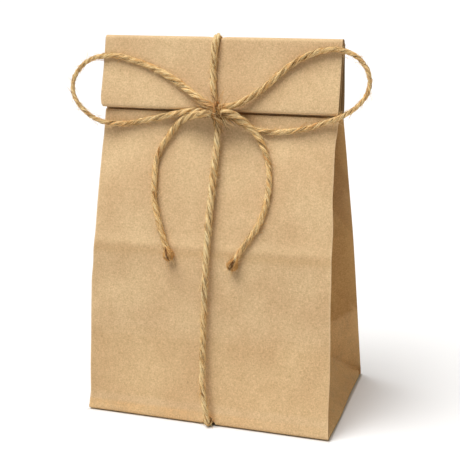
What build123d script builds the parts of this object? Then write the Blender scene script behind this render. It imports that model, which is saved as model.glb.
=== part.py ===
import os
from math import cos, pi, radians, sin, sqrt, tan

from build123d import *

# Block bottom bag of kraft paper, folded shut at the top and tied with one length of twine.
# Millimetres. The origin is on the ground under the middle of the bag, the front faces -Y.

# Flat sizes of the paper tube
bag_width = 133.0
bag_depth = 87.0

# Side profile of the filled bag, from the ground up to the neck
bottom_fold_radius = 1.5
crease_height = 91.0
front_crease_set_back = 14.5
back_crease_set_in = 23.4
front_crease_reach = 3.3
back_bulge_reach = 14.0
neck_offset = -5.2
neck_lean = 16.0
neck_bend_radius = 12.0

# The top, turned down twice to the front
top_height = 199.3
folded_height = 39.3
ply_stack = 1.2
ply_gap = 0.5
flap_edge_rise = 3.0
cut_edge_drop = 5.0

# Side gussets: a tuck at the bottom, then a centre fold that runs up to the neck
tuck_angle = 38.0
gusset_slit = 0.15

# Underside: the outer flap laps over the inner one
flap_lap = 12.0
flap_step = 0.4
flap_margin = 2.0

# Twine, one length with its two ends tied in a bow
twine_diameter = 3.5
twine_clearance = 0.2
bend_share = 0.45
groove_line = 3.0
groove_rise = 16.0
knot_radius = 4.3
knot_core_radius = 3.8
knot_core_length = 6.4
knot_core_round = 1.2
knot_wrap_radius = 1.6
knot_line = 1.0
knot_rise = 1.2

# Routes of the twine. The band's points are in the bag's frame, the bow's are from the knot.
band_route = [
    (1.0, -11.0, 166.0),
    (-0.8, -7.1, 175.6),
    (-2.7, -3.4, 188.4),
    (-2.5, 0.0, 200.2),
    (-2.4, 3.9, 201.8),
    (-2.2, 7.5, 199.8),
    (2.9, 44.6, 4.4),
    (3.0, 42.5, 1.95),
    (3.0, -42.7, 1.95),
    (2.9, -44.8, 4.4),
    (0.4, -42.3, 20.6),
    (-1.2, -39.4, 38.9),
    (-1.2, -35.6, 62.8),
    (-0.6, -31.5, 88.6),
    (-1.2, -24.8, 115.6),
    (0.2, -18.4, 139.4),
    (1.0, -12.6, 160.5),
]
left_loop_route = [
    (-2.2, 0.0, 2.0),
    (-11.0, 2.2, 6.0),
    (-23.0, 5.2, 12.6),
    (-37.0, 7.6, 20.0),
    (-51.0, 9.4, 26.0),
    (-64.5, 9.8, 28.0),
    (-76.0, 8.8, 24.4),
    (-84.0, 6.6, 16.6),
    (-86.0, 4.0, 7.0),
    (-80.0, 1.4, -2.0),
    (-68.0, -0.4, -7.6),
    (-54.0, -1.2, -9.8),
    (-39.0, -1.2, -8.4),
    (-25.0, -0.6, -5.0),
    (-13.0, 0.6, -2.0),
    (-2.2, 1.8, -1.2),
]
right_loop_route = [
    (2.2, 0.0, 2.0),
    (11.6, 2.0, 4.2),
    (22.6, 5.0, 11.0),
    (34.6, 7.6, 20.6),
    (47.0, 9.4, 27.6),
    (60.0, 10.4, 31.4),
    (71.0, 9.2, 28.0),
    (79.0, 7.2, 21.0),
    (81.4, 4.8, 12.4),
    (77.6, 2.4, 4.6),
    (69.0, 0.6, -1.4),
    (57.4, -0.4, -6.0),
    (45.0, -0.8, -9.8),
    (33.0, -0.8, -10.6),
    (21.6, 0.0, -7.0),
    (12.0, 0.8, -3.6),
    (2.2, 1.8, -1.2),
]
left_tail_route = [
    (-2.2, -1.8, -1.2),
    (-11.4, -3.0, -3.4),
    (-20.4, -2.6, -8.0),
    (-28.0, -2.6, -15.4),
    (-32.6, -4.6, -25.4),
    (-34.8, -7.6, -36.4),
    (-34.4, -10.4, -47.0),
    (-31.6, -13.0, -57.0),
    (-27.4, -15.8, -66.0),
    (-22.0, -18.4, -73.8),
]
right_tail_route = [
    (2.2, -1.8, -1.2),
    (11.6, -3.4, -3.4),
    (19.0, -4.4, -8.0),
    (24.8, -4.6, -15.4),
    (29.0, -5.8, -25.0),
    (31.6, -8.2, -36.0),
    (30.8, -10.8, -47.0),
    (27.6, -13.6, -57.4),
    (23.6, -16.0, -65.6),
    (19.0, -17.8, -72.2),
    (13.6, -19.4, -77.6),
]

# Values worked out from the sizes above
half_width = bag_width / 2
half_depth = bag_depth / 2
lean = radians(neck_lean)
layer_pitch = ply_stack + ply_gap
top_bend = layer_pitch
lower_bend = layer_pitch / 2
neck_height = top_height - folded_height
neck_rise = (folded_height - top_bend * (sin(lean) + 1) - ply_stack / 2) / cos(lean)
flap_length = neck_rise - flap_edge_rise
second_turn = flap_length - cut_edge_drop
paper_lip = (ply_stack * cos(lean) - gusset_slit) / 2
twine_radius = twine_diameter / 2


def front_face(height):
    # Y of the front panel at a height between the ground and the neck
    if height < crease_height:
        return -half_depth + front_crease_set_back * height / crease_height
    crease = -half_depth + front_crease_set_back
    neck = neck_offset - ply_stack / 2 * cos(lean)
    return crease + (neck - crease) * (height - crease_height) / (neck_height - crease_height)


def back_face(height):
    # Y of the back panel at a height between the ground and the neck
    if height < crease_height:
        return half_depth - back_crease_set_in * height / crease_height
    crease = half_depth - back_crease_set_in
    neck = neck_offset + ply_stack / 2 * cos(lean)
    return crease + (neck - crease) * (height - crease_height) / (neck_height - crease_height)


def before_neck(forward, rise):
    # Y and Z of a point this far in front of the neck's middle and this far up along it
    y = neck_offset - forward * cos(lean) + rise * sin(lean)
    z = neck_height + forward * sin(lean) + rise * cos(lean)
    return y, z


def half_ring(radius, upper):
    # Half of a bend in the ply stack, open side down or up
    ring = Circle(radius + ply_stack / 2) - Circle(radius - ply_stack / 2)
    kept = Align.MIN if upper else Align.MAX
    reach = 2 * (radius + ply_stack)
    return ring & Rectangle(reach, reach, align=(Align.CENTER, kept))


def layer(offset, start, length):
    # One straight layer of the ply stack, counted towards the front from the neck
    strip = Rectangle(ply_stack, length, align=(Align.CENTER, Align.MIN))
    return Pos(-offset, start) * strip


def near(shape, point):
    return shape.vertices().sort_by_distance(point)[0]


def bend_radius(before, corner, after, reach):
    # Radius of the arc that leaves both runs this far from their corner
    turn = radians((corner - before).get_angle(after - corner))
    return reach / tan(turn / 2)


def bag_section():
    # Body profile in Y and Z, then the top as a ribbon turned down twice
    dip = ply_stack / 2 * sin(lean)
    front_foot = Vector(-half_depth, 0)
    back_foot = Vector(half_depth, 0)
    back_crease = Vector(back_face(crease_height), crease_height)
    back_neck = Vector(back_face(neck_height), neck_height - dip)
    front_neck = Vector(front_face(neck_height), neck_height + dip)
    front_crease = Vector(front_face(crease_height), crease_height)
    outline = Polyline(
        front_foot, back_foot, back_crease, back_neck, front_neck, front_crease, close=True
    )
    crease_radius = bend_radius(front_foot, front_crease, front_neck, front_crease_reach)
    bulge_radius = bend_radius(back_foot, back_crease, back_neck, back_bulge_reach)
    body = make_face(outline)
    body = fillet([near(body, front_foot), near(body, back_foot)], bottom_fold_radius)
    body = fillet(near(body, front_crease), crease_radius)
    body = fillet(near(body, back_crease), bulge_radius)
    top = layer(0, 0, neck_rise)
    top += Pos(-top_bend, neck_rise) * half_ring(top_bend, True)
    top += layer(2 * layer_pitch, flap_edge_rise, flap_length)
    top += Pos(-2 * layer_pitch + lower_bend, flap_edge_rise) * half_ring(lower_bend, False)
    top += layer(layer_pitch, flap_edge_rise, second_turn)
    section = body + Pos(neck_offset, neck_height) * Rot(0, 0, -neck_lean) * top
    return fillet(near(section, back_neck), neck_bend_radius)


def gusset_depth(height):
    # How far the centre fold of a gusset goes in where its two halves have closed to this depth
    open_depth = back_face(height) - front_face(height)
    return sqrt(half_depth ** 2 - (open_depth / 2) ** 2)


def gusset_tuck():
    # The room outside the folded right gusset, bounded by the paper and the plane of the side
    tuck_rise = paper_lip + half_depth * cos(radians(tuck_angle))
    tuck_depth = half_depth * sin(radians(tuck_angle))
    heights = (paper_lip, half_depth, crease_height, neck_height)
    front = [Vector(half_width, front_face(z) + paper_lip, z) for z in heights]
    back = [Vector(half_width, back_face(z) - paper_lip, z) for z in heights]
    folds = []
    for z, depth in zip(
        (tuck_rise, crease_height, neck_height),
        (tuck_depth, gusset_depth(crease_height), half_depth),
    ):
        folds.append(Vector(half_width - depth, (front_face(z) + back_face(z)) / 2, z))
    corners = [
        (front[0], back[0], folds[0]),
        (front[3], folds[2], back[3]),
        (*front, *reversed(back)),
    ]
    for edge in (front, back):
        corners.append((edge[0], folds[0], edge[1]))
        corners.append((edge[1], folds[0], folds[1]))
        corners.append((edge[1], folds[1], edge[2]))
        corners.append((edge[2], folds[1], folds[2]))
        corners.append((edge[2], folds[2], edge[3]))
    return Solid(Shell([Face(Wire.make_polygon(points)) for points in corners]))


def twine_groove():
    # The twine has pressed its own width into the soft underside and round both bottom edges
    radius = twine_radius + twine_clearance
    stand_off = radius + twine_clearance
    front_corner = Vector(groove_line, front_face(radius) - stand_off, radius)
    back_corner = Vector(groove_line, back_face(radius) + stand_off, radius)
    front_rise = Vector(groove_line, front_face(groove_rise) - stand_off, groove_rise)
    back_rise = Vector(groove_line, back_face(groove_rise) + stand_off, groove_rise)
    path = FilletPolyline(front_rise, front_corner, back_corner, back_rise, radius=twine_diameter)
    dent = sweep(Plane(path @ 0, z_dir=path % 0) * Circle(radius), path)
    span = back_corner.Y - front_corner.Y
    slot = Box(2 * radius, span, radius, align=(Align.CENTER, Align.MIN, Align.MIN))
    return dent + Pos(groove_line, front_corner.Y, 0) * slot


def inner_bottom_flap():
    # The inner flap of the block bottom lies one step up, with ends folded at 45 degrees
    far = half_depth - flap_margin
    wide = half_width - flap_margin
    narrow = wide - (far - flap_lap)
    outline = Polyline((-wide, far), (wide, far), (narrow, flap_lap), (-narrow, flap_lap), close=True)
    return extrude(make_face(outline), flap_step)


def paper_bag():
    bag = extrude(Plane.YZ * bag_section(), half_width, both=True)
    tuck = gusset_tuck()
    bag -= tuck
    bag -= mirror(tuck, Plane.YZ)
    bag -= inner_bottom_flap()
    bag -= twine_groove()
    return bag


def bow_knot():
    # Strands gathered along X, with one turn of twine wrapped round them
    core = Cylinder(knot_core_radius, knot_core_length)
    core = fillet(core.edges().filter_by(GeomType.CIRCLE), knot_core_round)
    wrap = Torus(knot_radius - knot_wrap_radius, knot_wrap_radius)
    return Pos(*knot_at) * Rot(0, 90, 0) * (core + wrap)


def bend_radii(points):
    # Each bend takes up this share of the shorter of its two runs
    radii = []
    for before, corner, after in zip(points, points[1:], points[2:]):
        shorter = min((corner - before).length, (after - corner).length)
        radii.append(bend_radius(before, corner, after, bend_share * shorter))
    return radii


def twine(name, route, start):
    # Round twine along straight runs joined by tangent arcs
    points = [start + Vector(*point) for point in route]
    radii = bend_radii(points)
    path = FilletPolyline(*points, radius=radii)
    tube = sweep(Plane(path @ 0, z_dir=path % 0) * Circle(twine_radius), path)
    expected = pi * twine_radius ** 2 * path.length
    print(name, "length", round(path.length, 1), "volume share", round(tube.volume / expected, 4))
    print("  radii", [round(radius, 1) for radius in radii])
    return tube


# The knot rests on the flap, just over its lower edge
flap_front = 2 * layer_pitch + ply_stack / 2
knot_at = Vector(knot_line, *before_neck(flap_front + twine_clearance + knot_radius, knot_rise))
knot = bow_knot()
stretches = {
    "twine_band": (band_route, Vector(0, 0, 0)),
    "bow_loop_left": (left_loop_route, knot_at),
    "bow_loop_right": (right_loop_route, knot_at),
    "bow_tail_left": (left_tail_route, knot_at),
    "bow_tail_right": (right_tail_route, knot_at),
}
pieces = {"paper_bag": paper_bag(), "bow_knot": knot}
print("knot at", [round(value, 2) for value in knot_at])
for name, (route, start) in stretches.items():
    pieces[name] = twine(name, route, start) - knot

os.makedirs("parts", exist_ok=True)
for name, piece in pieces.items():
    export_step(piece, f"parts/{name}.step")
    print(name, "volume", round(piece.volume, 1), "solids", len(piece.solids()))
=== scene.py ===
import math
import random

import bmesh
import bpy
from mathutils import Matrix, Vector, noise
from mathutils.bvhtree import BVHTree


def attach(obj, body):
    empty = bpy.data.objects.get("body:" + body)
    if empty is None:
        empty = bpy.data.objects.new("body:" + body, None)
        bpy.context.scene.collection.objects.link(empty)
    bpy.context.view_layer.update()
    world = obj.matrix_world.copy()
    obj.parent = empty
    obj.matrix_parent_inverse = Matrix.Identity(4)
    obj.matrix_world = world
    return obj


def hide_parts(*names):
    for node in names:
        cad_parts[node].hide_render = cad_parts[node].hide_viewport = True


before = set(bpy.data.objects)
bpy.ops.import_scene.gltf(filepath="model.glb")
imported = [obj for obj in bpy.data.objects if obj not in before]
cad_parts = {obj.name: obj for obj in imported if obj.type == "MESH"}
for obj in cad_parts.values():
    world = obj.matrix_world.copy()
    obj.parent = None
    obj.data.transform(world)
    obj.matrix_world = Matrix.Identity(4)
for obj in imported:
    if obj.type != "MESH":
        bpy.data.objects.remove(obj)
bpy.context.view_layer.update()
mm = 0.001


def deselectAll():
    if bpy.context.object and bpy.context.object.mode != "OBJECT":
        bpy.ops.object.mode_set(mode="OBJECT")
    bpy.ops.object.select_all(action="DESELECT")


def pickOnly(piece):
    deselectAll()
    piece.select_set(True)
    bpy.context.view_layer.objects.active = piece


def lerp(start, end, share):
    return start + (end - start) * share


def clamped(share):
    return min(max(share, 0.0), 1.0)


def smoothStep(low, high, value):
    share = clamped((value - low) / (high - low))
    return share * share * (3 - 2 * share)


def bell(distance, width):
    return math.exp(-(distance / width) ** 2)


def within(span, value):
    # 0 to 1 across a span given in millimetres
    return smoothStep(span[0] * mm, span[1] * mm, value)


# node helpers

def feed(tree, target, source):
    if isinstance(source, bpy.types.NodeSocket):
        tree.links.new(source, target)
    else:
        target.default_value = source


def addNode(tree, kind, inputs=None, **settings):
    node = tree.nodes.new(kind)
    for name, value in settings.items():
        setattr(node, name, value)
    for name, source in (inputs or {}).items():
        feed(tree, node.inputs[name], source)
    return node


def mathNode(tree, operation, first, second=0.0):
    return addNode(tree, "ShaderNodeMath", {0: first, 1: second}, operation=operation).outputs[0]


def mixColour(tree, share, first, second, blend="MIX"):
    node = addNode(tree, "ShaderNodeMix", {"Factor": share, "A": first, "B": second},
                   data_type="RGBA", blend_type=blend, clamp_factor=True)
    return node.outputs["Result"]


def rampNode(tree, value, low, high):
    node = addNode(tree, "ShaderNodeMapRange", {"Value": value, "From Min": low, "From Max": high},
                   clamp=True, interpolation_type="SMOOTHSTEP")
    return node.outputs["Result"]


def stretchNode(tree, vector, stretch):
    return addNode(tree, "ShaderNodeMapping", {"Vector": vector, "Scale": stretch}).outputs["Vector"]


def noiseNode(tree, vector, scale, detail=3.0, rough=0.55, stretch=(1, 1, 1)):
    node = addNode(tree, "ShaderNodeTexNoise", {
        "Vector": stretchNode(tree, vector, stretch), "Scale": scale, "Detail": detail, "Roughness": rough})
    return node.outputs["Fac"]


def maskNode(tree, name):
    return addNode(tree, "ShaderNodeAttribute", attribute_name=name).outputs["Fac"]


def newMaterial(name, look):
    material = bpy.data.materials.new(name)
    material.use_nodes = True
    tree = material.node_tree
    shader = tree.nodes["Principled BSDF"]
    shader.inputs["Roughness"].default_value = look["roughness"]
    shader.inputs["Specular IOR Level"].default_value = look["specular"]
    return material, tree, shader


def roughen(tree, shader, height, look):
    bump = addNode(tree, "ShaderNodeBump", {
        "Strength": look["bump"], "Distance": look["bumpDepth"], "Height": height})
    tree.links.new(bump.outputs["Normal"], shader.inputs["Normal"])


def colour(red, green, blue):  # sRGB bytes to a linear colour
    def linear(byte):
        share = byte / 255
        return share / 12.92 if share <= 0.04045 else ((share + 0.055) / 1.055) ** 2.4
    return (linear(red), linear(green), linear(blue), 1.0)


def fibreGroup():
    # plant fibres: a cloudy tone and short hairs, shared by the paper and the twine
    group = bpy.data.node_groups.new("plantFibres", "ShaderNodeTree")
    for name, kind in (("Vector", "Vector"), ("Cloud Scale", "Float"), ("Hair Scale", "Float")):
        group.interface.new_socket(name, in_out="INPUT", socket_type="NodeSocket" + kind)
    for name in ("Cloud", "Hair"):
        group.interface.new_socket(name, in_out="OUTPUT", socket_type="NodeSocketFloat")
    entry = group.nodes.new("NodeGroupInput")
    leave = group.nodes.new("NodeGroupOutput")
    for name, detail, distortion in (("Cloud", 4.0, 0.0), ("Hair", 2.0, 0.6)):
        texture = addNode(group, "ShaderNodeTexNoise", {
            "Vector": entry.outputs["Vector"], "Scale": entry.outputs[name + " Scale"],
            "Detail": detail, "Distortion": distortion})
        group.links.new(texture.outputs["Fac"], leave.inputs[name])
    return group


fibres = fibreGroup()


def fibreNode(tree, vector, cloudScale, hairScale):
    node = addNode(tree, "ShaderNodeGroup", {
        "Vector": vector, "Cloud Scale": cloudScale, "Hair Scale": hairScale}, node_tree=fibres)
    return node.outputs["Cloud"], node.outputs["Hair"]


# kraft paper

kraftLook = {
    "base": colour(214, 183, 141),
    "pale": colour(229, 200, 152),
    "deep": colour(198, 159, 113),
    "fleck": colour(150, 112, 72),
    # pale of rubbed fold edges, also a painted highlight above the crease and painted light on the tuck
    "wearAndLightPale": colour(232, 203, 160),
    "grainDark": (0.79, 0.76, 0.7, 1.0),
    "grainPale": (1.21, 1.24, 1.3, 1.0),
    # painted bounce light off the floor, at the foot and low on the sides
    "footLightTint": (1.07, 1.01, 0.91, 1.0),
    # painted shade: darker, warmer sides, a darker lower front and a dark line under the crease
    "paintedShadeTint": (0.79, 0.66, 0.47, 1.0),
    "plyShadeTint": (0.42, 0.37, 0.31, 1.0),  # painted shade between the plies at the ends of the roll
    "cloudScale": 38.0,
    "blotchScale": 240.0,
    "fleckScale": 700.0,
    "speckScale": 1700.0,
    "grainUpScale": 1700.0,
    "grainAcrossScale": 1500.0,
    "grainSpan": (1.225, 2.125),
    "baseShare": 0.66,
    "blotchShare": 0.35,
    "fleckShare": 0.3,
    "wearAndLightShare": 0.5,
    "bump": 0.25,
    "bumpDepth": 0.1 * mm,
    "roughness": 0.85,
    "specular": 0.2,
}


def kraftPaper():
    look = kraftLook
    material, tree, shader = newMaterial("kraftPaper", look)
    place = addNode(tree, "ShaderNodeTexCoord").outputs["Object"]
    cloud, speck = fibreNode(tree, place, look["cloudScale"], look["speckScale"])
    grainUp = noiseNode(tree, place, look["grainUpScale"], stretch=(1.0, 1.0, 0.45))
    grainAcross = noiseNode(tree, place, look["grainAcrossScale"], stretch=(0.5, 0.5, 1.0))
    blotch = noiseNode(tree, place, look["blotchScale"], stretch=(1.0, 1.0, 0.7))
    tone = mixColour(tree, rampNode(tree, cloud, 0.28, 0.72), look["deep"], look["pale"])
    tone = mixColour(tree, look["baseShare"], tone, look["base"])
    sand = mathNode(tree, "ADD", mathNode(tree, "ADD", grainUp, grainAcross), speck)
    sand = mathNode(tree, "ADD", sand, mathNode(tree, "MULTIPLY", blotch, look["blotchShare"]))
    low, high = look["grainSpan"]
    shade = addNode(tree, "ShaderNodeMapRange", {"Value": sand, "From Min": low, "From Max": high})
    grain = mixColour(tree, shade.outputs["Result"], look["grainDark"], look["grainPale"])
    tone = mixColour(tree, 1.0, tone, grain, "MULTIPLY")
    fleck = noiseNode(tree, place, look["fleckScale"], 1.0, stretch=(1.0, 1.0, 0.5))
    fleckShare = mathNode(tree, "MULTIPLY", rampNode(tree, fleck, 0.74, 0.82), look["fleckShare"])
    tone = mixColour(tree, fleckShare, tone, look["fleck"])
    # rubbed fold edges, with a painted highlight above the crease and painted light on the tuck
    wearAndLightShare = mathNode(tree, "MULTIPLY", maskNode(tree, "foldWearAndLight"), look["wearAndLightShare"])
    tone = mixColour(tree, wearAndLightShare, tone, look["wearAndLightPale"])
    # painted bounce light at the foot and low on the sides
    footLightShare = mathNode(tree, "MULTIPLY", maskNode(tree, "paintedFootLight"), rampNode(tree, blotch, 0.1, 0.6))
    tone = mixColour(tree, footLightShare, tone, look["footLightTint"], "MULTIPLY")
    # painted shade on the sides, the lower front and under the crease
    tone = mixColour(tree, maskNode(tree, "paintedShade"), tone, look["paintedShadeTint"], "MULTIPLY")
    # painted shade at the ends of the roll
    tone = mixColour(tree, maskNode(tree, "plyShade"), tone, look["plyShadeTint"], "MULTIPLY")
    tree.links.new(tone, shader.inputs["Base Color"])
    roughen(tree, shader, sand, look)
    return material


# jute twine

juteLook = {
    "dark": colour(122, 80, 40),
    "gold": colour(222, 170, 99),
    "straw": colour(247, 221, 165),
    "rust": colour(212, 142, 77),
    "sage": colour(232, 218, 172),
    "fibreStretch": (11.0, 0.22, 1.0),  # round and along the strand
    "streakStretch": (9.0, 0.3, 1.0),
    "paleStretch": (0.4, 0.05, 1.0),
    "rustShare": 0.6,
    "paleShare": 0.4,
    "darkShare": 0.8,
    "grooveShadeShare": 0.8,
    "bump": 0.8,
    "bumpDepth": 0.3 * mm,
    "roughness": 0.7,
    "specular": 0.3,
}


def juteTwine(name, cast, castShare):
    look = juteLook
    material, tree, shader = newMaterial(name, look)
    along = addNode(tree, "ShaderNodeUVMap", uv_map="strandMap").outputs["UV"]
    patch, hair = fibreNode(tree, stretchNode(tree, along, look["fibreStretch"]), 0.16, 1.0)
    streak = noiseNode(tree, along, 1.0, 4.0, 0.65, look["streakStretch"])
    paler = noiseNode(tree, along, 1.0, 1.0, 0.5, look["paleStretch"])
    tone = mixColour(tree, rampNode(tree, hair, 0.34, 0.62), look["gold"], look["straw"])
    rustShare = mathNode(tree, "MULTIPLY", rampNode(tree, patch, 0.5, 0.66), look["rustShare"])
    tone = mixColour(tree, rustShare, tone, look["rust"])
    paleShare = mathNode(tree, "MULTIPLY", rampNode(tree, paler, 0.5, 0.64), look["paleShare"])
    tone = mixColour(tree, paleShare, tone, look["sage"])
    tone = mixColour(tree, castShare, tone, cast)
    darkShare = mathNode(tree, "MULTIPLY", rampNode(tree, streak, 0.48, 0.34), look["darkShare"])
    tone = mixColour(tree, darkShare, tone, look["dark"])
    # painted shade in the grooves between the plies
    grooveShadeShare = mathNode(tree, "MULTIPLY", maskNode(tree, "grooveShade"), look["grooveShadeShare"])
    tone = mixColour(tree, grooveShadeShare, tone, look["dark"])
    tree.links.new(tone, shader.inputs["Base Color"])
    roughen(tree, shader, mathNode(tree, "ADD", hair, streak), look)
    return material


def juteHair():
    # each hair has one tint, from brown over gold to pale straw
    material, tree, shader = newMaterial("juteHair", juteLook)
    tint = maskNode(tree, "tint")
    tone = mixColour(tree, rampNode(tree, tint, 0.0, 0.3), juteLook["dark"], juteLook["gold"])
    tone = mixColour(tree, rampNode(tree, tint, 0.35, 0.8), tone, juteLook["straw"])
    tree.links.new(tone, shader.inputs["Base Color"])
    return material


paperMaterial = kraftPaper()
bandMaterial = juteTwine("jutePale", juteLook["sage"], 0.35)
twineMaterial = juteTwine("juteTwine", juteLook["straw"], 0.0)
# a rust-cast copy of the twine: painted shade of the wrap sunk between the bundles
wrapShadeMaterial = juteTwine("juteTightShaded", juteLook["rust"], 0.6)
fuzzMaterial = juteHair()
print("materials ready")


# the folded paper bag

bagForm = {
    "width": 133 * mm,
    "depth": 87 * mm,
    "bottomRound": 1.5 * mm,
    "creaseHeight": 91 * mm,  # first flat fold, a bag's depth up
    "halfFold": 43.5 * mm,  # where the side gussets turn in
    "frontSetBack": 14.5 * mm,
    "backSetIn": 23.4 * mm,
    "neckHeight": 160 * mm,
    "neckOffset": -5.2 * mm,
    "neckLean": math.radians(16),
    "plyStack": 1.2 * mm,
    "layerPitch": 1.7 * mm,
    "neckRise": 38 * mm,
    "flapRise": 3 * mm,
    "cutDrop": 5 * mm,
    "ledge": 0.5 * mm,
    "tuckDepth": 26.8 * mm,
    "tuckRise": 34.8 * mm,
    "tuckCentre": -1.7 * mm,  # the centre fold, from the middle of the bag to the back
    "creaseCentre": -4.45 * mm,
    "creaseFold": 35.9 * mm,  # depth of the centre fold at the crease
    "neckFold": 43.5 * mm,
    "frontBend": 3 * mm,
    "backBend": 14 * mm,
    "lip": 0.24 * mm,
    "nose": 0.15 * mm,
    "columns": 120,
    "gussetSteps": 8,
    "neckSteps": 14,
    "crownSteps": 10,
    "flapSteps": 18,
    "turnSteps": 8,
    "crowding": 0.7,  # rings crowd together next to the folds
}
bagCreep = {  # how the handled paper strays from its fold lines, millimetres by height
    "frontRight": ((0, 1.6), (20, 0.9), (72, -0.3), (102, -0.9), (125, -2.5), (146, -3.1), (156, -2.4),
                   (160, -2.0), (200, -1.9)),
    "frontLeft": ((0, -1.5), (4, -1.0), (10, -0.4), (39, -0.5), (70, -0.8), (84, 0.2), (100, 0.9),
                  (140, 0.9), (153, 1.4), (160, 1.9), (172, 0.0)),
    "backRight": ((0, 0.0), (160, -0.2), (200, -1.9)),
    "backLeft": ((0, 0.0), (110, 0.0), (160, 1.9), (172, 0.0)),
    "flapRight": ((161, -1.8), (200, -2.2)),
    "flapLeft": ((161, 2.4), (162.5, 1.2), (165, 0.3), (168, 0.0)),
    "panelReach": 0.2,  # share of the half width from which the panels stray
    "sideReach": (0.55, 0.45),  # and the sides, with the share over which they do
    "skew": 0.042,  # the foot of the front panel stands further out on the right
    "skewRise": 50,
    "edgeLift": 0.65,  # the rim of the bottom stands off the ground
    "edgeSpan": 8,
    "sideLift": 0.65,
    "sideSpan": (58, 66),
    "liftRise": 16,
    "wave": 0.8,
    "waveFoot": (4, 22),
    "waveTop": (158, 146),
    "rollWave": 0.5,
    "rollTilt": 0.0135,  # the folded top hangs a little lower on the right
    "tiltFrom": 140,
    "rollEdge": 9,
    "bulge": 1.8,  # the upper front panel is pushed out by what is inside
    "bulgeEdge": 9,
    "swell": 1.5,  # and stands forward under the flap
    "swellRise": (146, 157),
    "lipFrom": 155,
    "lipForward": 0.7,
    "lipRise": 0.8,
    "tuckDent": 1.4,
    "tuckWidth": 1.4,
    "tuckRun": (30, 3),
    "flare": 1.5,  # the flap springs off the panel at its lower edge
    "flareRise": (188, 163),
}
bagRows = 2 * bagForm["gussetSteps"] + 4  # of the ground grid, from the front to the back
body, neck, overTop, flap, lowFold, secondTurn = range(6)


def neckPoint(forward, rise):
    lean = bagForm["neckLean"]
    y = bagForm["neckOffset"] - forward * math.cos(lean) + rise * math.sin(lean)
    z = bagForm["neckHeight"] + forward * math.sin(lean) + rise * math.cos(lean)
    return Vector((0, y, z))


def bentLine(height, foot, crease, neckEnd, reach):
    # two straight runs with a soft bend at the crease
    bend = bagForm["creaseHeight"]
    lower = (crease - foot) / bend
    upper = (neckEnd - crease) / (bagForm["neckHeight"] - bend)
    offset = height - bend
    if abs(offset) < reach:
        return crease + lower * offset + (upper - lower) * (offset + reach) ** 2 / (4 * reach)
    return crease + (lower if offset < 0 else upper) * offset


def frontPoint(height):
    half = bagForm["depth"] / 2
    end = neckPoint(bagForm["plyStack"] / 2, 0)
    y = bentLine(height, -half, bagForm["frontSetBack"] - half, end.y, bagForm["frontBend"])
    return Vector((0, y, height))


def backPoint(height):
    half = bagForm["depth"] / 2
    end = neckPoint(-bagForm["plyStack"] / 2, 0)
    y = bentLine(height, half, half - bagForm["backSetIn"], end.y, bagForm["backBend"])
    return Vector((0, y, height))


def bagStations():
    # each ring round the bag: its layer, front fold, back fold and centre fold of the gusset
    form = bagForm
    half = form["width"] / 2
    ply = form["plyStack"] / 2
    rounding = form["bottomRound"]
    rings = []
    for angle in (30, 60, 90):
        inset = rounding * (1 - math.sin(math.radians(angle)))
        rise = rounding * (1 - math.cos(math.radians(angle)))
        front, back = frontPoint(rise), backPoint(rise)
        front.y += inset
        back.y -= inset
        rings.append((body, front, back, Vector((half, 0, rise / 3))))
    seat = rings[-1][3]
    apex = Vector((half - form["tuckDepth"], form["tuckCentre"], form["tuckRise"]))
    crease = Vector((half - form["creaseFold"], form["creaseCentre"], form["creaseHeight"]))
    top = Vector((half - form["neckFold"], form["neckOffset"], form["neckHeight"]))
    folds = (  # the centre fold climbs while the outer folds stand, then they rise past it
        (rounding, seat, apex, 0, 9),
        (form["halfFold"], apex, crease, 20, 10),
        (form["creaseHeight"], crease, top, 24, 12),
        (form["neckHeight"], top, top, 32, 0),
    )
    reached = rounding
    for height, start, end, rises, steps in folds:
        for step in range(1, rises + 1):
            share = step / rises
            share -= form["crowding"] * math.sin(2 * math.pi * share) / (2 * math.pi)
            level = lerp(reached, height, share)
            rings.append((body, frontPoint(level), backPoint(level), start))
        for step in range(1, steps + 1):
            rings.append((body, frontPoint(height), backPoint(height), start.lerp(end, step / steps)))
        reached = height

    def stack(layer, frontOffset, backOffset, rise, backRise):
        front = neckPoint(frontOffset, rise)
        back = neckPoint(backOffset, backRise)
        middle = (front + back) / 2
        rings.append((layer, front, back, Vector((half - form["neckFold"], middle.y, middle.z))))

    pitch = form["layerPitch"]
    crown = form["neckRise"]
    low = form["flapRise"]
    for step in range(form["neckSteps"] + 1):
        rise = max(crown * step / form["neckSteps"], form["ledge"])  # a ledge first, under the flap
        stack(neck, ply, -ply, rise, rise)
    for step in range(1, form["crownSteps"]):
        turn = math.pi * step / form["crownSteps"]
        inner, outer = pitch - ply, pitch + ply
        stack(overTop, pitch - inner * math.cos(turn), pitch - outer * math.cos(turn),
              crown + inner * math.sin(turn), crown + outer * math.sin(turn))
    for step in range(form["flapSteps"] + 1):
        rise = lerp(crown, low, step / form["flapSteps"])
        stack(flap, 2 * pitch - ply, 2 * pitch + ply, rise, rise)
    for step in range(1, form["turnSteps"]):
        turn = math.pi * step / form["turnSteps"]
        inner, outer = pitch / 2 - ply, pitch / 2 + ply
        stack(lowFold, 1.5 * pitch + inner * math.cos(turn), 1.5 * pitch + outer * math.cos(turn),
              low - inner * math.sin(turn), low - outer * math.sin(turn))
    for step in range(form["turnSteps"] + 1):  # up to the cut edge
        rise = lerp(low, crown - form["cutDrop"], step / form["turnSteps"])
        stack(secondTurn, pitch + ply, pitch - ply, rise, rise)
    return rings


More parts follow.
